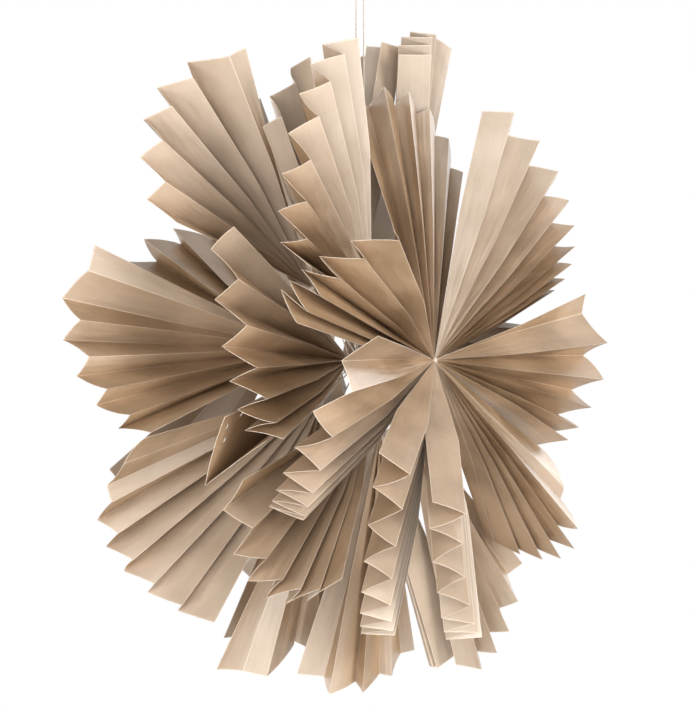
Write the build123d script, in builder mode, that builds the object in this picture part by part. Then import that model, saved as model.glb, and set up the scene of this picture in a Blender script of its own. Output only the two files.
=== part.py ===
from build123d import *
import math
import os

os.makedirs("parts", exist_ok=True)

# Paper star: a hanging star of pleated paper fans, bound at their points and tied together.
# Millimetres and degrees. +Z is up, +X to the right of the front view, +Y away from it.
# The origin is the hanging point, the middle of the loop at the top of the thread.

# Overall sizes
hang_drop = 346
pleat_length = 250
pleat_width = 33
paper_thickness = 0.35
point_half_angle = 7.5
root_radius = 3
section_margin_share = 0.08
core_back_share = 0.16
cut_overhang = 12
least_depth = 5
fold_thickness_share = 0.35

# One sheet has broader pleats, and round holes punched near the edge of its first pleat:
# their places as shares of the sheet's length and of the pleat's width
broad_pleat_width = 66
broad_pleats = {"fan_punched": broad_pleat_width}
punch_dia = 4.6
punch_shares = [(0.95, 0.2), (0.93, 0.42), (0.86, 0.1)]

# Thread
thread_dia = 1.2
loop_half_width = 3.6
knot_radius = 2.9
core_knot_radius = 5

# Where the fans are bound, from the star's centre, as shares of the pleats' length
binding_shares = {
    "front": (0.264, -0.144, 0),
    "mid": (-0.036, 0.012, 0),
    "left": (-0.192, 0.088, 0.04),
    "upleft": (-0.172, 0.08, 0.26),
    "top": (0.044, -0.024, 0.192),
    "topright": (0.16, 0.66, 0.24),
    "innertop": (-0.048, 0.2, 0.132),
    "lowleft": (-0.108, 0.08, -0.088),
    "lowmid": (0.048, 0.068, -0.152),
    "botmid": (0.076, 0.16, -0.256),
    "botleft": (-0.104, 0.084, -0.224),
    "botright": (0.168, 0.176, -0.212),
    "rear": (-0.024, 0.28, 0.176),
    "rear_mid": (-0.072, 0.24, -0.024),
    "rear_left": (-0.248, 0.176, 0.048),
    "rear_low": (-0.144, 0.208, -0.16),
}

# Fan rows: binding, then where the first, middle and last folds point (turn about Z and
# rise, degrees), number of pleats, width of the last pleat as a share of the first one's,
# the side the first fold stands out on, and how far the first and last pleats lean over.
fan_rows = {
    "fan_front_top": ("front", (139, 67), (109, 72), (81, 43), 10, 0.41, -1, 52, 38),
    "fan_front_upper_right": ("front", (55, 68), (56, 26), (71, 12), 21, 0.93, 1, 38, 18),
    "fan_front_right": ("front", (54, 15), (51, 0), (61, -19), 11, 0.15, -1, -6, 13),
    "fan_front_lower_right": ("front", (61, -21), (48, -43), (74, -42), 13, 0.5, 1, -14, 0),
    "fan_front_bottom": ("front", (-88, -28), (-88, -42), (-61, -78), 13, 0.2, -1, 16, -3),
    "fan_front_low": ("front", (-99, -18), (-104, -36), (-141, -75), 15, 0.2, -1, -6, -19),
    "fan_front_lower_left": ("front", (-104, 5), (-120, -22), (-127, -31), 14, 0.8, 1, -20, -13),
    "fan_front_upper_left": ("front", (-97, 25), (-110, 20), (-121, 10), 11, 0.2, -1, -50, -3),
    "fan_mid_left": ("mid", (-119, 27), (-111, -2), (-107, -15), 12, 1.2, 1, 20, 17),
    "fan_mid_low": ("lowmid", (-120, -15), (-117, -38), (-101, -38), 12, 1, 1, 20, 0),
    "fan_top": ("top", (-107, 69), (-107, 25), (-105, 8), 14, 3, 1, 3, 30),
    "fan_top_right": ("topright", (-85, 60), (-68, 79), (47, 74), 9, 3, 1, 2, 4),
    "fan_top_inner": ("innertop", (-117, 72), (-113, 56), (-111, 41), 5, 0.75, 1, -21, 50),
    "fan_left": ("left", (-140, 21), (-144, 4), (-126, -17), 11, 0.22, -1, 19, 12),
    "fan_upper_left": ("upleft", (-111, 55), (-132, 42), (-120, 12), 11, 0.41, -1, 6, 0),
    "fan_lower_left": ("lowleft", (-129, -10), (-157, -34), (-136, -58), 14, 0.5, -1, -20, -4),
    "fan_bottom": ("botmid", (134, -65), (112, -75), (77, -56), 8, 0.5, 1, -60, -20),
    "fan_bottom_left": ("botleft", (165, -64), (138, -70), (106, -58), 4, 0.8, 1, -45, -38),
    "fan_bottom_right": ("botright", (58, -34), (51, -55), (47, -71), 9, 1, -1, -38, -37),
    "fan_punched": ("lowleft", (-115, -11), (-111, -14), (-107, -16), 2, 1, 1, 8, 8),
    "fan_bottom_closed": ("botmid", (62, -60), (60, -61), (57, -61), 6, 1, 1, 0, 0),
    "fan_rear_top": ("rear", (0, 81), (86, 66), (92, 34), 11, 1, 1, 0, 0),
    "fan_rear_right": ("rear_mid", (74, 44), (66, 10), (72, -16), 14, 1, 1, 0, 0),
    "fan_rear_middle": ("rear_mid", (90, 4), (94, -16), (92, -36), 9, 1, 1, 0, 0),
    "fan_rear_left": ("rear_left", (108, 26), (130, 18), (126, -14), 12, 1, 1, 0, 0),
    "fan_rear_low": ("rear_low", (119, 3), (117, -26), (90, -44), 13, 1, 1, 0, 0),
}

# Where the whole star sits under the hanging point
core_back = pleat_length * core_back_share
star_centre = Vector(0, -core_back, -hang_drop)
core_knot = star_centre + Vector(0, core_back, 0)
taper_reach = pleat_width / 2 / math.tan(math.radians(point_half_angle))


def binding_place(binding):
    return star_centre + Vector(*binding_shares[binding]) * pleat_length


def heading(turn, rise):
    return Vector(1, 0, 0).rotate(Axis.Y, -rise).rotate(Axis.Z, turn)


def fold_headings(first, middle, last, pleats, last_share):
    widths = [last_share ** (i / (pleats - 1)) for i in range(pleats)]
    ends = [heading(*first), heading(*middle), heading(*last)]
    folds = []
    for i in range(pleats + 1):
        u = sum(widths[:i]) / sum(widths)
        mix = ends[0] * ((1 - u) * (1 - 2 * u)) + ends[1] * (4 * u * (1 - u)) + ends[2] * (u * (2 * u - 1))
        folds.append(mix.normalized())
    return folds


def fan_frame(name):
    """Where a fan starts, the way its folds point, and its own directions out and across."""
    binding, first, middle, last, pleats, last_share = fan_rows[name][:6]
    folds = fold_headings(first, middle, last, pleats, last_share)
    out = (folds[0] + folds[pleats // 2] + folds[-1]).normalized()
    across = folds[-1] - folds[0]
    across = (across - out * across.dot(out)).normalized()
    return binding_place(binding), folds, out, across


def zigzag(name, reach):
    """Closed outline of the pleated sheet where it crosses a plane at this reach."""
    hub, folds, out, across = fan_frame(name)
    side, first_lean, last_lean = fan_rows[name][6:]
    width = broad_pleats.get(name, pleat_width)
    stand = out.cross(across)
    turns = [math.radians(a.get_angle(b)) for a, b in zip(folds, folds[1:])]
    near, far = [], []
    for i, fold in enumerate(folds):
        turn = (turns[max(i - 1, 0)] + turns[min(i, len(turns) - 1)]) / 2
        depth = math.sqrt(max(width**2 - (turn * pleat_length) ** 2, least_depth**2))
        depth = depth * min(reach / taper_reach, 1)
        run = turn * reach
        lean = math.radians(first_lean + (last_lean - first_lean) * i / len(turns))
        half = paper_thickness / 2 * math.hypot(run, depth) / (run * math.cos(lean))
        half = min(half, fold_thickness_share * depth)
        middle = Vector(fold.dot(across), fold.dot(stand)) * (reach / fold.dot(out))
        lift = Vector(math.sin(lean), math.cos(lean))
        near.append(middle + lift * (side * (-1) ** i * depth / 2 + half))
        far.append(middle + lift * (side * (-1) ** i * depth / 2 - half))
    return near + far[::-1]


def cut_outline(folds, out, across):
    """Outline through the folds' outer ends, seen flat: the sheet's cut edge, pleat by pleat."""
    ends = [Vector(fold.dot(out), fold.dot(across)) * pleat_length for fold in folds]
    before = ends[0] + (ends[0] - ends[1]).normalized() * cut_overhang
    after = ends[-1] + (ends[-1] - ends[-2]).normalized() * cut_overhang
    return [Vector(0, -pleat_length), before, *ends, after, Vector(0, pleat_length)]


def pleated_fan(name):
    """One sheet folded to and fro, pinched to a point at its binding."""
    hub, folds, out, across = fan_frame(name)
    with BuildPart() as sheet:
        for reach in (root_radius, taper_reach, pleat_length * (1 + section_margin_share)):
            with BuildSketch(Plane(origin=hub + out * reach, x_dir=across, z_dir=out)):
                with BuildLine():
                    Polyline(zigzag(name, reach), close=True)
                make_face()
        loft(ruled=True)
        with BuildSketch(Plane(origin=hub, x_dir=out, z_dir=out.cross(across))):
            with BuildLine():
                Polyline(cut_outline(folds, out, across), close=True)
            make_face()
        extrude(amount=pleat_length, both=True, mode=Mode.INTERSECT)
    return sheet.part


def punched(sheet, name):
    """Round holes through the first pleat of a sheet, square to it."""
    hub, folds, out, across = fan_frame(name)
    with BuildPart() as pierced:
        add(sheet)
        for along, over in punch_shares:
            reach = pleat_length * along
            section = Plane(origin=hub + out * reach, x_dir=across, z_dir=out)
            start, end = [section.from_local_coords(corner) for corner in zigzag(name, reach)[:2]]
            square = (end - start).cross(folds[0] + folds[1])
            with Locations(Plane(origin=start + (end - start) * over, z_dir=square)):
                Cylinder(punch_dia / 2, punch_dia, mode=Mode.SUBTRACT)
    return pierced.part


for name in fan_rows:
    fan = pleated_fan(name)
    if name in broad_pleats:
        fan = punched(fan, name)
    fan.label = name
    export_step(fan, "parts/" + name + ".step")


# One thread a binding: wound round the fans' points, then led to the knot in the middle
def binding_tie(binding):
    hub = binding_place(binding)
    lead = core_knot - hub
    thread_radius = thread_dia / 2
    reach = lead.length - core_knot_radius
    leave = math.sqrt(knot_radius**2 - thread_radius**2)
    with BuildPart() as tie:
        with BuildSketch(Plane(origin=hub, x_dir=lead.normalized(), z_dir=lead.cross(Vector(1, 0, 0)))):
            with BuildLine():
                ThreePointArc((-knot_radius, 0), (0, knot_radius), (leave, thread_radius))
                Polyline((leave, thread_radius), (reach, thread_radius), (reach, 0), (-knot_radius, 0))
            make_face()
        revolve(axis=Axis(hub, lead))
    return tie.part


for binding in binding_shares:
    tie = binding_tie(binding)
    tie.label = "tie_" + binding
    export_step(tie, "parts/tie_" + binding + ".step")

# Knot in the middle, where the ties and the hanging thread come together
with BuildPart() as core:
    with Locations(Location(core_knot)):
        Sphere(core_knot_radius)
core.part.label = "core_knot"
export_step(core.part, "parts/core_knot.step")

# Hanging thread: doubled, up from the knot in the middle and over in a loop
leg_foot = -hang_drop + math.sqrt(core_knot_radius**2 - (loop_half_width - thread_dia / 2) ** 2)
loop_radius = 0.45 * 2 * loop_half_width
print("thread arc radii", [loop_radius, loop_radius])
with BuildPart() as hanging:
    with BuildLine() as route:
        FilletPolyline(
            (-loop_half_width, 0, leg_foot),
            (-loop_half_width, 0, 0),
            (loop_half_width, 0, 0),
            (loop_half_width, 0, leg_foot),
            radius=[loop_radius, loop_radius],
        )
    with BuildSketch(Plane(origin=route.line @ 0, z_dir=route.line % 0)):
        Circle(thread_dia / 2)
    sweep()
hanging.part.label = "hanging_thread"
export_step(hanging.part, "parts/hanging_thread.step")
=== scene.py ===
import bpy
import math
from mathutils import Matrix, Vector


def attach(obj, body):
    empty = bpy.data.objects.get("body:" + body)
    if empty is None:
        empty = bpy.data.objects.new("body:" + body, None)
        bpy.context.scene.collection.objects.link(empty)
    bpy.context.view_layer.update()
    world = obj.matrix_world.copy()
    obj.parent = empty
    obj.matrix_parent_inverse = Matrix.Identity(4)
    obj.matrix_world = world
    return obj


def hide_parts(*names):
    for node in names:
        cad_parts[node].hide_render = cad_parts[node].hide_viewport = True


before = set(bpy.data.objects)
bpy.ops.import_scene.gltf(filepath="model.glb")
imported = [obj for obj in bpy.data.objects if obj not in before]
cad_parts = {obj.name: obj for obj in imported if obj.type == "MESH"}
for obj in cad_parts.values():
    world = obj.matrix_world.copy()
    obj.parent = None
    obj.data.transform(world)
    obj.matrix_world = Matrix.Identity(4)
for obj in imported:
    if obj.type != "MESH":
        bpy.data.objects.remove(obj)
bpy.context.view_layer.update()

print("frame loaded")

scene = bpy.context.scene
scene.view_settings.view_transform = "Standard"

# the star hangs under the origin; the thread's loop is at the origin
star = {"centre": (0.0, -0.040, -0.346), "photoDistance": 3.0}
centre = Vector(star["centre"])


def mm(x, y, z):
    return Vector((x, y, z)) / 1000


def heading(turn, rise):
    a, e = math.radians(turn), math.radians(rise)
    return Vector((math.cos(e) * math.cos(a), math.cos(e) * math.sin(a), math.sin(e)))


# shorthand for building node trees
def addNode(tree, kind, **settings):
    node = tree.nodes.new(kind)
    for key, value in settings.items():
        setattr(node, key, value)
    return node


def feed(tree, socket, value):
    if isinstance(value, bpy.types.NodeSocket):
        tree.links.new(value, socket)
    else:
        socket.default_value = value


def calc(tree, operation, *values):
    node = addNode(tree, "ShaderNodeMath", operation=operation)
    for socket, value in zip(node.inputs, values):
        feed(tree, socket, value)
    return node.outputs[0]


def product(tree, first, *others):
    for other in others:
        first = calc(tree, "MULTIPLY", first, other)
    return first


def vec(tree, operation, *values, scale=None):
    node = addNode(tree, "ShaderNodeVectorMath", operation=operation)
    for socket, value in zip(node.inputs, values):
        feed(tree, socket, value)
    if scale is not None:
        feed(tree, node.inputs["Scale"], scale)
    return node.outputs["Value" if operation in ("DOT_PRODUCT", "LENGTH") else "Vector"]


def useGroup(tree, group, **values):
    kind = "ShaderNodeGroup" if group.bl_idname == "ShaderNodeTree" else "GeometryNodeGroup"
    node = addNode(tree, kind, node_tree=group)
    for name, value in values.items():
        feed(tree, node.inputs[name], value)
    return node.outputs


# camera: level with the star, where the photograph was taken from
camera = {"lens": 169.5, "x": -0.0135, "z": 0.0054, "farClip": 50}
cameraData = bpy.data.cameras.new("camera")
cameraData.lens = camera["lens"]
cameraData.clip_end = camera["farClip"]
cameraObject = bpy.data.objects.new("camera", cameraData)
cameraObject.location = centre + Vector((camera["x"], -star["photoDistance"], camera["z"]))
cameraObject.rotation_euler = (math.radians(90), 0, 0)
scene.collection.objects.link(cameraObject)
scene.camera = cameraObject

# hanging thread: doubled, taut, up to its loop at the origin
hangingThread = {
    "diameter": 0.0012, "length": 0.686, "halfWidth": 0.0036, "foot": -0.342, "aboveBend": 0.0072,
    "curveSteps": 12, "roundSteps": 3,
}


def makeHangingThread():
    values = hangingThread
    side, foot, bend = values["halfWidth"], values["foot"], -values["aboveBend"]
    points = [(-side, foot), (-side, bend), (-side, 0), (side, 0), (side, bend), (side, foot)]
    curve = bpy.data.curves.new("hangingThread", "CURVE")
    curve.dimensions = "3D"
    spline = curve.splines.new("NURBS")
    spline.points.add(len(points) - 1)
    for point, (x, z) in zip(spline.points, points):
        point.co = (x, 0, z, 1)
    spline.order_u = 3
    spline.use_endpoint_u = True
    spline.resolution_u = values["curveSteps"]
    curve.bevel_depth = values["diameter"] / 2
    curve.bevel_resolution = values["roundSteps"]
    curve.use_fill_caps = True
    piece = bpy.data.objects.new("hangingThread", curve)
    scene.collection.objects.link(piece)
    return piece


threadPiece = makeHangingThread()
print("thread made")

# pleated fans; an even sheet's shares stay just off 1, where the fold rule would divide by zero
pleat = {
    "length": 0.250, "width": 0.033, "thickness": 0.00032, "taperReach": 0.1253, "rootRadius": 0.003,
    "leastDepth": 0.005, "acrossSteps": 6, "alongSteps": 30, "unevenness": 0.07, "bow": 0.002,
    "sharpAngle": 28, "evenShare": 0.9999, "evenStep": 0.99999,
}
# the one sheet with broad pleats: its pleat width, and its holes as shares of the length and of the first pleat
broad = {
    "fan_punched": {
        "width": 0.066, "holes": ((0.95, 0.2), (0.93, 0.42), (0.86, 0.1)), "holeDiameter": 0.0046, "holeSides": 24,
    },
}
# where each binding is, in millimetres from the star's middle
bindings = {
    "front": (66, -36, 0), "mid": (-9, 3, 0), "left": (-48, 22, 10), "upleft": (-43, 20, 65),
    "top": (11, -6, 48), "topright": (40, 165, 60), "innertop": (-12, 50, 33), "lowleft": (-27, 20, -22),
    "lowmid": (12, 17, -38), "botmid": (19, 40, -64), "botleft": (-26, 21, -56), "botright": (42, 44, -53),
    "rear": (-6, 70, 44), "rear_mid": (-18, 60, -6), "rear_left": (-62, 44, 12), "rear_low": (-36, 52, -40),
}
# binding, headings of the first, middle and last folds, pleats, last pleat's share, side, first and last lean
fanRows = {
    "fan_front_top": ("front", (139, 67), (109, 72), (81, 43), 10, 0.41, -1, 52, 38),
    "fan_front_upper_right": ("front", (55, 68), (56, 26), (71, 12), 21, 0.93, 1, 38, 18),
    "fan_front_right": ("front", (54, 15), (51, 0), (61, -19), 11, 0.15, -1, -6, 13),
    "fan_front_lower_right": ("front", (61, -21), (48, -43), (74, -42), 13, 0.5, 1, -14, 0),
    "fan_front_bottom": ("front", (-88, -28), (-88, -42), (-61, -78), 13, 0.2, -1, 16, -3),
    "fan_front_low": ("front", (-99, -18), (-104, -36), (-141, -75), 15, 0.2, -1, -6, -19),
    "fan_front_lower_left": ("front", (-104, 5), (-120, -22), (-127, -31), 14, 0.8, 1, -20, -13),
    "fan_front_upper_left": ("front", (-97, 25), (-110, 20), (-121, 10), 11, 0.2, -1, -50, -3),
    "fan_mid_left": ("mid", (-119, 27), (-111, -2), (-107, -15), 12, 1.2, 1, 20, 17),
    "fan_mid_low": ("lowmid", (-120, -15), (-117, -38), (-101, -38), 12, 1, 1, 20, 0),
    "fan_top": ("top", (-107, 69), (-107, 25), (-105, 8), 14, 3, 1, 3, 30),
    "fan_top_right": ("topright", (-85, 60), (-68, 79), (47, 74), 9, 3, 1, 2, 4),
    "fan_top_inner": ("innertop", (-117, 72), (-113, 56), (-111, 41), 5, 0.75, 1, -21, 50),
    "fan_left": ("left", (-140, 21), (-144, 4), (-126, -17), 11, 0.22, -1, 19, 12),
    "fan_upper_left": ("upleft", (-111, 55), (-132, 42), (-120, 12), 11, 0.41, -1, 6, 0),
    "fan_lower_left": ("lowleft", (-129, -10), (-157, -34), (-136, -58), 14, 0.5, -1, -20, -4),
    "fan_bottom": ("botmid", (134, -65), (112, -75), (77, -56), 8, 0.5, 1, -60, -20),
    "fan_bottom_left": ("botleft", (165, -64), (138, -70), (106, -58), 4, 0.8, 1, -45, -38),
    "fan_bottom_right": ("botright", (58, -34), (51, -55), (47, -71), 9, 1, -1, -38, -37),
    "fan_punched": ("lowleft", (-115, -11), (-111, -14), (-107, -16), 2, 1, 1, 8, 8),
    "fan_bottom_closed": ("botmid", (62, -60), (60, -61), (57, -61), 6, 1, 1, 0, 0),
    "fan_rear_top": ("rear", (0, 81), (86, 66), (92, 34), 11, 1, 1, 0, 0),
    "fan_rear_right": ("rear_mid", (74, 44), (66, 10), (72, -16), 14, 1, 1, 0, 0),
    "fan_rear_middle": ("rear_mid", (90, 4), (94, -16), (92, -36), 9, 1, 1, 0, 0),
    "fan_rear_left": ("rear_left", (108, 26), (130, 18), (126, -14), 12, 1, 1, 0, 0),
    "fan_rear_low": ("rear_low", (119, 3), (117, -26), (90, -44), 13, 1, 1, 0, 0),
}
# sheets deeper in the star that fill the sight lines between the fans; the frame has no node for them
innerRows = {
    "inner_low": ("rear_low", (137, -60), (99, -68), (55, -64), 7, 1, 1, 0, 0),
    "inner_high": ("lowleft", (147, 56), (116, 61), (83, 57), 5, 1, 1, 0, 0),
    "inner_left": ("upleft", (161, -62), (-175, -52), (-161, -40), 3, 1, 1, 0, 0),
    "inner_right": ("rear", (39, -16), (33, -9), (28, -2), 4, 1, 1, 0, 0),
    "inner_below": ("botright", (135, -45), (139, -36), (143, -27), 2, 1, 1, 0, 0),
    "inner_mid": ("mid", (-156, 69), (158, 69), (127, 59), 3, 1, 1, 0, 0),
}

# what a fold's heading needs, and what else the shape of a sheet needs
headingInputs = [
    ("First", "NodeSocketVector", (0, 0, 1)),
    ("Middle", "NodeSocketVector", (0, -1, 0)),
    ("Last", "NodeSocketVector", (0, 0, -1)),
    ("Pleats", "NodeSocketFloat", 12.0),
    ("Last Share", "NodeSocketFloat", 1.0),
]
sheetInputs = [
    ("Out", "NodeSocketVector", (1, 0, 0)),
    ("Stand", "NodeSocketVector", (0, 1, 0)),
    ("Across", "NodeSocketVector", (0, 0, 1)),
    ("Side", "NodeSocketFloat", 1.0),
    ("First Lean", "NodeSocketFloat", 0.0),
    ("Last Lean", "NodeSocketFloat", 0.0),
    ("Length", "NodeSocketFloat", 0.25),
    ("Width", "NodeSocketFloat", 0.033),
    ("Least Depth", "NodeSocketFloat", 0.005),
    ("Taper Reach", "NodeSocketFloat", 0.125),
    ("Unevenness", "NodeSocketFloat", 0.1),
    ("Seed", "NodeSocketInt", 0),
]


def newGeometryGroup(name, inputs, outputs):
    tree = bpy.data.node_groups.new(name, "GeometryNodeTree")
    for label, kind, default in inputs:
        socket = tree.interface.new_socket(label, in_out="INPUT", socket_type=kind)
        if default is not None:
            socket.default_value = default
    for label, kind in outputs:
        tree.interface.new_socket(label, in_out="OUTPUT", socket_type=kind)
    return tree, addNode(tree, "NodeGroupInput").outputs, addNode(tree, "NodeGroupOutput").inputs


def passOn(given, inputs):
    return {name: given[name] for name, kind, default in inputs}


def chanceEitherWay(tree, number, seed):
    # from -1 to 1, its own for each number
    node = addNode(tree, "FunctionNodeRandomValue", data_type="FLOAT")
    feed(tree, node.inputs[2], -1.0)
    feed(tree, node.inputs[3], 1.0)
    feed(tree, node.inputs["ID"], number)
    feed(tree, node.inputs["Seed"], seed)
    return node.outputs[1]


def foldHeadingTree():
    # which way a fold points, from its number along the sheet
    tree, given, out = newGeometryGroup(
        "foldHeading", headingInputs + [("Fold", "NodeSocketFloat", 0.0)], [("Heading", "NodeSocketVector")]
    )
    pleats = given["Pleats"]
    fold = calc(tree, "MAXIMUM", calc(tree, "MINIMUM", given["Fold"], pleats), 0.0)
    # every pleat takes up this share of the turn of the one before
    step = calc(tree, "POWER", given["Last Share"], calc(tree, "DIVIDE", 1.0, calc(tree, "SUBTRACT", pleats, 1.0)))
    part = calc(tree, "SUBTRACT", 1.0, calc(tree, "POWER", step, fold))
    whole = calc(tree, "SUBTRACT", 1.0, calc(tree, "POWER", step, pleats))
    u = calc(tree, "DIVIDE", part, whole)
    # a curve through the three headings
    left = calc(tree, "SUBTRACT", 1.0, u)
    twice = calc(tree, "MULTIPLY", u, 2.0)
    ofFirst = product(tree, left, calc(tree, "SUBTRACT", 1.0, twice))
    ofMiddle = product(tree, u, left, 4.0)
    ofLast = product(tree, u, calc(tree, "SUBTRACT", twice, 1.0))
    first = vec(tree, "SCALE", given["First"], scale=ofFirst)
    mix = vec(tree, "ADD", first, vec(tree, "SCALE", given["Middle"], scale=ofMiddle))
    mix = vec(tree, "ADD", mix, vec(tree, "SCALE", given["Last"], scale=ofLast))
    feed(tree, out["Heading"], vec(tree, "NORMALIZE", mix))
    return tree


def foldPointTree(headingTree):
    # a point on a fold, at a reach from the binding
    ownInputs = [("Fold", "NodeSocketFloat", 0.0), ("Reach", "NodeSocketFloat", 0.25)]
    tree, given, out = newGeometryGroup(
        "foldPoint", headingInputs + ownInputs + sheetInputs, [("Point", "NodeSocketVector")]
    )
    same = passOn(given, headingInputs)
    fold = given["Fold"]
    # every fold but the first and last slips a little out of its place
    beforeLast = calc(tree, "LESS_THAN", fold, calc(tree, "SUBTRACT", given["Pleats"], 0.5))
    inner = product(tree, calc(tree, "GREATER_THAN", fold, 0.5), beforeLast)
    slip = product(tree, chanceEitherWay(tree, fold, given["Seed"]), given["Unevenness"], inner)
    here = useGroup(tree, headingTree, Fold=calc(tree, "ADD", fold, slip), **same)[0]
    # the pleat's depth is what its width leaves of the turn: half a pleat each way, and a whole one at the ends
    before = useGroup(tree, headingTree, Fold=calc(tree, "SUBTRACT", fold, 0.5), **same)[0]
    after = useGroup(tree, headingTree, Fold=calc(tree, "ADD", fold, 0.5), **same)[0]
    turn = calc(tree, "ARCCOSINE", vec(tree, "DOT_PRODUCT", before, after))
    run = product(tree, turn, calc(tree, "SUBTRACT", 2.0, inner), given["Length"])
    left = calc(tree, "SUBTRACT", product(tree, given["Width"], given["Width"]), product(tree, run, run))
    least = product(tree, given["Least Depth"], given["Least Depth"])
    depth = calc(tree, "SQRT", calc(tree, "MAXIMUM", left, least))
    # the pleats open up to that depth on their way out
    forward = product(tree, given["Reach"], vec(tree, "DOT_PRODUCT", here, given["Out"]))
    opened = calc(tree, "MINIMUM", calc(tree, "DIVIDE", forward, given["Taper Reach"]), 1.0)
    # folds go up and down in turn
    upDown = calc(tree, "ADD", product(tree, calc(tree, "FLOORED_MODULO", fold, 2.0), -2.0), 1.0)
    lift = product(tree, depth, 0.5, opened, upDown, given["Side"])
    # the pleats lean over, more or less from one end of the sheet to the other
    change = calc(tree, "SUBTRACT", given["Last Lean"], given["First Lean"])
    lean = calc(tree, "MULTIPLY_ADD", calc(tree, "DIVIDE", fold, given["Pleats"]), change, given["First Lean"])
    upright = vec(tree, "SCALE", given["Stand"], scale=calc(tree, "COSINE", lean))
    raised = vec(tree, "ADD", upright, vec(tree, "SCALE", given["Across"], scale=calc(tree, "SINE", lean)))
    straight = vec(tree, "SCALE", here, scale=given["Reach"])
    feed(tree, out["Point"], vec(tree, "ADD", straight, vec(tree, "SCALE", raised, scale=lift)))
    return tree


def fanTree():
    pointTree = foldPointTree(foldHeadingTree())
    firstInputs = [("Geometry", "NodeSocketGeometry", None), ("Binding", "NodeSocketVector", (0, 0, 0))]
    ownInputs = [
        ("Root Radius", "NodeSocketFloat", 0.003),
        ("Across Steps", "NodeSocketInt", 6),
        ("Along Steps", "NodeSocketInt", 30),
        ("Bow", "NodeSocketFloat", 0.001),
        ("Material", "NodeSocketMaterial", None),
    ]
    tree, given, out = newGeometryGroup(
        "pleatedFan", firstInputs + headingInputs + sheetInputs + ownInputs, [("Geometry", "NodeSocketGeometry")]
    )
    pleats, acrossSteps = given["Pleats"], given["Across Steps"]
    grid = addNode(tree, "GeometryNodeMeshGrid")
    feed(tree, grid.inputs["Size X"], 1.0)
    feed(tree, grid.inputs["Size Y"], 1.0)
    feed(tree, grid.inputs["Vertices X"], calc(tree, "ADD", product(tree, pleats, acrossSteps), 1.0))
    feed(tree, grid.inputs["Vertices Y"], calc(tree, "ADD", given["Along Steps"], 1.0))
    # each point's place along the sheet, counted in pleats, and its share of the way out
    split = addNode(tree, "ShaderNodeSeparateXYZ")
    feed(tree, split.inputs[0], addNode(tree, "GeometryNodeInputPosition").outputs[0])
    steps = product(tree, calc(tree, "ADD", split.outputs["X"], 0.5), pleats, acrossSteps)
    pleatPlace = calc(tree, "DIVIDE", calc(tree, "ROUND", steps), acrossSteps)
    wholePleats = calc(tree, "FLOOR", calc(tree, "ADD", pleatPlace, 0.001))
    fold = calc(tree, "MINIMUM", wholePleats, calc(tree, "SUBTRACT", pleats, 1.0))
    share = calc(tree, "SUBTRACT", pleatPlace, fold)
    along = calc(tree, "ADD", split.outputs["Y"], 0.5)
    span = calc(tree, "SUBTRACT", given["Length"], given["Root Radius"])
    reach = calc(tree, "MULTIPLY_ADD", along, span, given["Root Radius"])
    # the point lies between this fold and the next
    same = passOn(given, headingInputs + sheetInputs)
    here = useGroup(tree, pointTree, Fold=fold, Reach=reach, **same)[0]
    there = useGroup(tree, pointTree, Fold=calc(tree, "ADD", fold, 1.0), Reach=reach, **same)[0]
    over = vec(tree, "SUBTRACT", there, here)
    between = vec(tree, "ADD", here, vec(tree, "SCALE", over, scale=share))
    # each pleat is a little bowed between its folds, not always the same way
    chance = chanceEitherWay(tree, fold, calc(tree, "ADD", given["Seed"], 50.0))
    arch = product(tree, share, calc(tree, "SUBTRACT", 1.0, share), 4.0)
    wide = calc(tree, "MINIMUM", calc(tree, "DIVIDE", vec(tree, "LENGTH", over), given["Width"]), 1.0)
    bow = product(tree, arch, chance, given["Bow"], wide, along)
    flat = vec(tree, "NORMALIZE", vec(tree, "CROSS_PRODUCT", over, here))
    bowed = vec(tree, "ADD", between, vec(tree, "SCALE", flat, scale=bow))
    # the material reads the pleat number and the share of the way out
    chart = addNode(tree, "ShaderNodeCombineXYZ")
    feed(tree, chart.inputs["X"], pleatPlace)
    feed(tree, chart.inputs["Y"], along)
    stored = addNode(tree, "GeometryNodeStoreNamedAttribute", data_type="FLOAT2", domain="CORNER")
    stored.inputs["Name"].default_value = "UVMap"
    feed(tree, stored.inputs["Value"], chart.outputs[0])
    feed(tree, stored.inputs["Geometry"], grid.outputs["Mesh"])
    shaped = addNode(tree, "GeometryNodeSetPosition")
    feed(tree, shaped.inputs["Geometry"], stored.outputs["Geometry"])
    feed(tree, shaped.inputs["Position"], vec(tree, "ADD", bowed, given["Binding"]))
    realized = addNode(tree, "GeometryNodeRealizeInstances")
    feed(tree, realized.inputs["Geometry"], shaped.outputs["Geometry"])
    painted = addNode(tree, "GeometryNodeSetMaterial")
    feed(tree, painted.inputs["Geometry"], realized.outputs["Geometry"])
    feed(tree, painted.inputs["Material"], given["Material"])
    feed(tree, out["Geometry"], painted.outputs["Geometry"])
    return tree


def setInputs(modifier, tree, values):
    sockets = [item for item in tree.interface.items_tree if item.item_type == "SOCKET" and item.in_out == "INPUT"]
    ids = {socket.name: socket.identifier for socket in sockets}
    for name, value in values.items():
        modifier[ids[name]] = value


def finishedMesh(piece):
    depsgraph = bpy.context.evaluated_depsgraph_get()
    return bpy.data.meshes.new_from_object(piece.evaluated_get(depsgraph), depsgraph=depsgraph)


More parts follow.
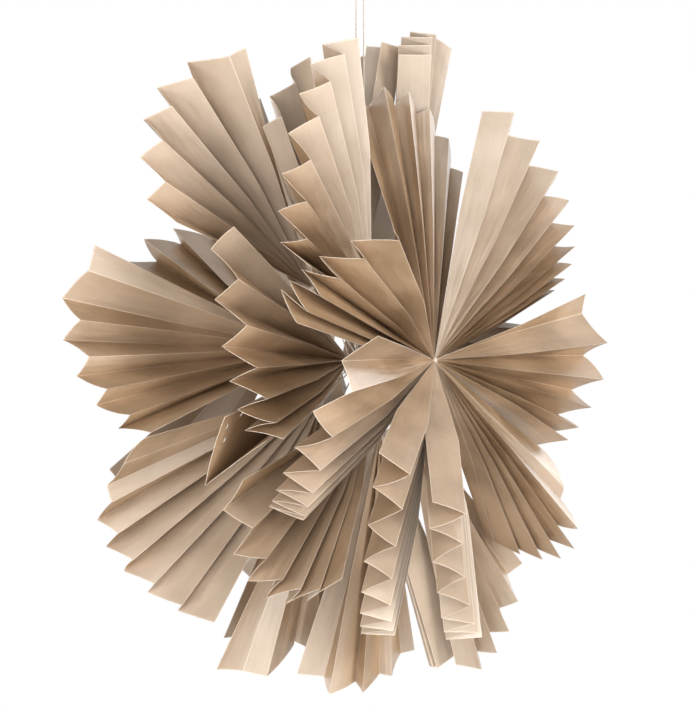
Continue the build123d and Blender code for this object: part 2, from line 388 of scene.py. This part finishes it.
# paper: saturated brown with a pearl pigment whose sheen is painted into the colour where the sheet faces the eye,
# painted highlights as pale lines along its folds, and pale along its cut edge
paper = {
    "paintedSheen": (0.55, 0.455, 0.365, 1), "paintedSheenDeep": (0.46, 0.37, 0.285, 1),
    "lit": (0.51, 0.34, 0.20, 1), "deep": (0.31, 0.19, 0.095, 1),
    "highlightAndEdgePale": (0.76, 0.64, 0.52, 1), "foldLine": 0.028, "edgeLine": 0.0045, "foldHighlightAndEdge": 0.6,
    "cloudScale": 12, "creaseScale": (2.6, 4.5, 1.0), "creaseShade": 0.35, "fibreScale": 900,
    "creaseStrength": 0.5, "creaseHeight": 0.003, "fibreStrength": 0.08, "fibreHeight": 0.0002,
    "roughness": 0.42, "roughSpread": 0.1, "gloss": 0.25, "paintedSheenAngle": 0.85,
    "coat": 0.4, "coatIndex": 1.6, "coatRoughness": 0.34,
    "glow": (0.60, 0.38, 0.20, 1), "translucency": 0.08,
}
# thread: pale, with its twist showing as darker bands
thread = {"colour": (0.66, 0.56, 0.45, 1), "shade": 0.45, "twistScale": 280, "roughness": 0.7}


def newMaterial(name):
    material = bpy.data.materials.new(name)
    material.use_nodes = True
    tree = material.node_tree
    return material, tree, next(node for node in tree.nodes if node.type == "BSDF_PRINCIPLED")


def soft(tree, value, low, high, atLow, atHigh):
    node = addNode(tree, "ShaderNodeMapRange", interpolation_type="SMOOTHSTEP")
    for socket, given in zip(("Value", "From Min", "From Max", "To Min", "To Max"), (value, low, high, atLow, atHigh)):
        feed(tree, node.inputs[socket], given)
    return node.outputs["Result"]


def noise(tree, coordinates, scale, detail):
    node = addNode(tree, "ShaderNodeTexNoise")
    feed(tree, node.inputs["Vector"], coordinates)
    node.inputs["Scale"].default_value = scale
    node.inputs["Detail"].default_value = detail
    return node.outputs["Fac"]


def blend(tree, factor, first, second):
    node = addNode(tree, "ShaderNodeMix", data_type="RGBA")
    feed(tree, node.inputs["Factor"], factor)
    feed(tree, node.inputs[6], first)
    feed(tree, node.inputs[7], second)
    return node.outputs[2]


def bumped(tree, height, strength, distance, normal=None):
    node = addNode(tree, "ShaderNodeBump")
    node.inputs["Strength"].default_value = strength
    node.inputs["Distance"].default_value = distance
    feed(tree, node.inputs["Height"], height)
    if normal is not None:
        feed(tree, node.inputs["Normal"], normal)
    return node.outputs[0]


def foldHighlightAndEdgeTree():
    # painted highlights along the folds, and a pale line along the cut edge
    tree = bpy.data.node_groups.new("foldHighlightAndEdge", "ShaderNodeTree")
    tree.interface.new_socket("Chart", in_out="INPUT", socket_type="NodeSocketVector")
    tree.interface.new_socket("Fold Line", in_out="INPUT", socket_type="NodeSocketFloat").default_value = 0.03
    tree.interface.new_socket("Edge Line", in_out="INPUT", socket_type="NodeSocketFloat").default_value = 0.005
    tree.interface.new_socket("Fold Highlight And Edge", in_out="OUTPUT", socket_type="NodeSocketFloat")
    given, out = addNode(tree, "NodeGroupInput").outputs, addNode(tree, "NodeGroupOutput").inputs
    split = addNode(tree, "ShaderNodeSeparateXYZ")
    feed(tree, split.inputs[0], given["Chart"])
    part = calc(tree, "FRACT", split.outputs["X"])
    near = calc(tree, "MINIMUM", part, calc(tree, "SUBTRACT", 1.0, part))
    foldLine, edgeLine = given["Fold Line"], given["Edge Line"]
    # painted highlight: a pale line along each fold
    fold = soft(tree, near, product(tree, foldLine, 0.3), foldLine, 1.0, 0.0)
    inward = calc(tree, "SUBTRACT", 1.0, split.outputs["Y"])
    # the cut edge at the outer end is pale
    edge = soft(tree, inward, calc(tree, "DIVIDE", edgeLine, 3.0), edgeLine, 1.0, 0.0)
    feed(tree, out["Fold Highlight And Edge"], calc(tree, "MAXIMUM", fold, edge))
    return tree


def makePaper():
    values = paper
    material, tree, bsdf = newMaterial("pearlPaper")
    place = addNode(tree, "ShaderNodeTexCoord").outputs["Object"]
    chart = addNode(tree, "ShaderNodeUVMap", uv_map="UVMap").outputs["UV"]
    # soft cloudiness of the sheet, long faint creases beside the folds, and fine fibres
    cloud = noise(tree, place, values["cloudScale"], 5)
    crease = noise(tree, vec(tree, "MULTIPLY", chart, values["creaseScale"]), 1, 2)
    fibre = noise(tree, place, values["fibreScale"], 3)
    clouded = soft(tree, cloud, 0.35, 0.65, 0.0, 1.0)
    creased = soft(tree, crease, 0.55, 0.8, 0.0, values["creaseShade"])
    base = blend(tree, creased, blend(tree, clouded, values["deep"], values["lit"]), values["deep"])
    # the painted sheen's colour, with the same cloudiness and creases as the brown
    paintedSheen = blend(tree, creased, blend(tree, clouded, values["paintedSheenDeep"], values["paintedSheen"]), values["paintedSheenDeep"])
    # painted sheen: the colour turns to the pale pearl sheen where the sheet faces the eye, and stays brown at grazing
    # angles
    facing = addNode(tree, "ShaderNodeLayerWeight").outputs["Facing"]
    base = blend(tree, soft(tree, facing, 0.0, values["paintedSheenAngle"], 1.0, 0.0), base, paintedSheen)
    lines = {"Fold Line": values["foldLine"], "Edge Line": values["edgeLine"]}
    highlightAndEdge = useGroup(tree, foldHighlightAndEdgeTree(), Chart=chart, **lines)["Fold Highlight And Edge"]
    # pale painted highlights along the folds, and the pale cut edge
    base = blend(tree, product(tree, highlightAndEdge, values["foldHighlightAndEdge"]), base, values["highlightAndEdgePale"])
    feed(tree, bsdf.inputs["Base Color"], base)
    grain, spread = calc(tree, "ADD", fibre, crease), values["roughSpread"]
    feed(tree, bsdf.inputs["Roughness"], calc(tree, "MULTIPLY_ADD", grain, spread, values["roughness"] - spread))
    creaseNormal = bumped(tree, crease, values["creaseStrength"], values["creaseHeight"])
    fibreNormal = bumped(tree, fibre, values["fibreStrength"], values["fibreHeight"], creaseNormal)
    feed(tree, bsdf.inputs["Normal"], fibreNormal)
    bsdf.inputs["Specular IOR Level"].default_value = values["gloss"]
    bsdf.inputs["Coat Weight"].default_value = values["coat"]
    bsdf.inputs["Coat IOR"].default_value = values["coatIndex"]
    bsdf.inputs["Coat Roughness"].default_value = values["coatRoughness"]
    # thin paper lets light through, warmer than what it reflects
    through = addNode(tree, "ShaderNodeBsdfTranslucent")
    through.inputs["Color"].default_value = values["glow"]
    feed(tree, through.inputs["Normal"], creaseNormal)
    mix = addNode(tree, "ShaderNodeMixShader")
    mix.inputs["Fac"].default_value = values["translucency"]
    feed(tree, mix.inputs[1], bsdf.outputs[0])
    feed(tree, mix.inputs[2], through.outputs[0])
    output = next(node for node in tree.nodes if node.type == "OUTPUT_MATERIAL")
    feed(tree, output.inputs["Surface"], mix.outputs[0])
    return material


def makeThread():
    material, tree, bsdf = newMaterial("paleThread")
    wave = addNode(tree, "ShaderNodeTexWave")
    feed(tree, wave.inputs["Vector"], addNode(tree, "ShaderNodeTexCoord").outputs["Object"])
    wave.inputs["Scale"].default_value = thread["twistScale"]
    dark = [part * thread["shade"] for part in thread["colour"][:3]] + [1]
    feed(tree, bsdf.inputs["Base Color"], blend(tree, wave.outputs["Fac"], dark, thread["colour"]))
    bsdf.inputs["Roughness"].default_value = thread["roughness"]
    return material


pearlPaper = makePaper()
paleThread = makeThread()
print("materials made")


def makeHolePins(name, row, firstWay, secondWay, outWay, across):
    # pins square to the first pleat, for its punched holes
    values = broad[name]
    binding, side, lean = row[0], row[6], math.radians(row[7])
    turn = math.acos(firstWay.dot(secondWay))
    depth = math.sqrt(values["width"] ** 2 - (turn * pleat["length"]) ** 2)
    raised = (outWay.cross(across) * math.cos(lean) + across * math.sin(lean)) * (side * depth / 2)
    size, sides = values["holeDiameter"], values["holeSides"]
    pins = []
    for along, over in values["holes"]:
        start = firstWay * (along * pleat["length"]) + raised
        end = secondWay * (along * pleat["length"]) - raised
        bpy.ops.mesh.primitive_cylinder_add(vertices=sides, radius=size / 2, depth=size)
        pin = bpy.context.object
        pin.location = centre + mm(*bindings[binding]) + start.lerp(end, over)
        pin.rotation_mode = "QUATERNION"
        pin.rotation_quaternion = (end - start).cross(firstWay + secondWay).to_track_quat("Z", "Y")
        pins.append(pin)
    bpy.context.view_layer.update()
    return pins


def makeFan(tree, name, row, seed):
    binding, first, middle, last, pleats, lastShare, side, firstLean, lastLean = row
    firstWay, middleWay, lastWay = heading(*first), heading(*middle), heading(*last)
    even = lastShare == 1
    # the fold in the middle, as the frame has it
    step = pleat["evenStep"] if even else lastShare ** (1 / (pleats - 1))
    u = (1 - step ** (pleats // 2)) / (1 - step**pleats)
    halfway = firstWay * (1 - u) * (1 - 2 * u) + middleWay * 4 * u * (1 - u) + lastWay * u * (2 * u - 1)
    halfway.normalize()
    outWay = (firstWay + halfway + lastWay).normalized()
    across = lastWay - firstWay
    across = (across - outWay * across.dot(outWay)).normalized()
    holder = bpy.data.objects.new(name + "_sheet", bpy.data.meshes.new(name + "_sheet"))
    scene.collection.objects.link(holder)
    modifier = holder.modifiers.new("fan", "NODES")
    modifier.node_group = tree
    setInputs(modifier, tree, {
        "Binding": centre + mm(*bindings[binding]), "First": firstWay, "Middle": middleWay, "Last": lastWay,
        "Pleats": float(pleats), "Last Share": pleat["evenShare"] if even else lastShare, "Out": outWay,
        "Stand": outWay.cross(across), "Across": across, "Side": float(side),
        "First Lean": math.radians(firstLean), "Last Lean": math.radians(lastLean),
        "Length": pleat["length"], "Width": broad.get(name, pleat)["width"],
        "Root Radius": pleat["rootRadius"], "Least Depth": pleat["leastDepth"], "Taper Reach": pleat["taperReach"],
        "Across Steps": pleat["acrossSteps"], "Along Steps": pleat["alongSteps"],
        "Unevenness": pleat["unevenness"], "Bow": pleat["bow"], "Seed": seed, "Material": pearlPaper,
    })
    wall = holder.modifiers.new("wall", "SOLIDIFY")
    wall.thickness = pleat["thickness"]
    wall.offset = 0
    pins = makeHolePins(name, row, firstWay, halfway, outWay, across) if name in broad else []
    for pin in pins:
        hole = holder.modifiers.new("hole", "BOOLEAN")
        hole.object = pin
        hole.operation = "DIFFERENCE"
    mesh = finishedMesh(holder)
    for helper in pins + [holder]:
        bpy.data.objects.remove(helper)
    mesh.name = name + "_paper"
    mesh.polygons.foreach_set("use_smooth", [True] * len(mesh.polygons))
    mesh.set_sharp_from_angle(angle=math.radians(pleat["sharpAngle"]))
    piece = bpy.data.objects.new(name + "_paper", mesh)
    scene.collection.objects.link(piece)
    return piece


tree = fanTree()
for seed, (name, row) in enumerate({**fanRows, **innerRows}.items()):
    piece = makeFan(tree, name, row, seed)
    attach(piece, "root")
    if name in fanRows:
        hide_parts(name)
print("fans made")

# thread on the ties, the knot and the hanging thread
for name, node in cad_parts.items():
    if name.startswith("tie_") or name == "core_knot":
        node.data.materials.clear()
        node.data.materials.append(paleThread)
threadPiece.data.materials.append(paleThread)
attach(threadPiece, "root")
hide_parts("hanging_thread")

# floor and light; each lamp has its place, size and power, and is aimed at the star's middle
room = {
    "floorDrop": 0.95, "floorRadius": 4.0, "floorColour": (0.82, 0.82, 0.82, 1), "floorRoughness": 0.8,
    "floorWhite": 0.74, "worldLight": 0.11, "white": (1, 1, 1, 1),
    "lamps": {
        "frontLight": ((0.0, -3.6, -0.2), 2.2, 106), "frontRightLight": ((2.3, -2.9, -0.1), 1.8, 104),
        "leftLight": ((-1.8, -2.4, -0.7), 1.8, 50), "topLight": ((0.2, 0.2, 1.7), 1.4, 8),
        "backLeftLight": ((-1.9, 2.2, 0.2), 1.8, 44), "backRightLight": ((1.9, 2.2, 0.0), 1.8, 26),
    },
}


def makeFloor():
    place = (0, 0, centre.z - room["floorDrop"])
    bpy.ops.mesh.primitive_circle_add(vertices=64, radius=room["floorRadius"], fill_type="NGON", location=place)
    floor = bpy.context.object
    floor.name = "floor"
    material, tree, bsdf = newMaterial("paleFloor")
    bsdf.inputs["Base Color"].default_value = room["floorColour"]
    bsdf.inputs["Roughness"].default_value = room["floorRoughness"]
    bsdf.inputs["Emission Color"].default_value = room["white"]
    eye = addNode(tree, "ShaderNodeLightPath").outputs["Is Camera Ray"]
    feed(tree, bsdf.inputs["Emission Strength"], product(tree, eye, room["floorWhite"]))
    floor.data.materials.append(material)


def makeWorld():
    # white where the eye, a reflection or glass sees it, and only a little light on the star
    world = bpy.data.worlds.new("studio")
    scene.world = world
    world.use_nodes = True
    tree = world.node_tree
    background = next(node for node in tree.nodes if node.type == "BACKGROUND")
    path = addNode(tree, "ShaderNodeLightPath").outputs
    seen = calc(tree, "MAXIMUM", path["Is Camera Ray"], path["Is Transmission Ray"])
    seen = calc(tree, "MAXIMUM", seen, path["Is Glossy Ray"])
    light = room["worldLight"]
    background.inputs["Color"].default_value = room["white"]
    feed(tree, background.inputs["Strength"], calc(tree, "MULTIPLY_ADD", seen, 1 - light, light))


def makeLamp(name, place, size, power):
    data = bpy.data.lights.new(name, "AREA")
    data.shape = "DISK"
    data.size = size
    data.energy = power
    lamp = bpy.data.objects.new(name, data)
    lamp.location = place
    lamp.rotation_mode = "QUATERNION"
    lamp.rotation_quaternion = (centre - Vector(place)).to_track_quat("-Z", "Y")
    lamp.visible_camera = False
    scene.collection.objects.link(lamp)


makeFloor()
makeWorld()
for name, (place, size, power) in room["lamps"].items():
    makeLamp(name, place, size, power)
print("room made")
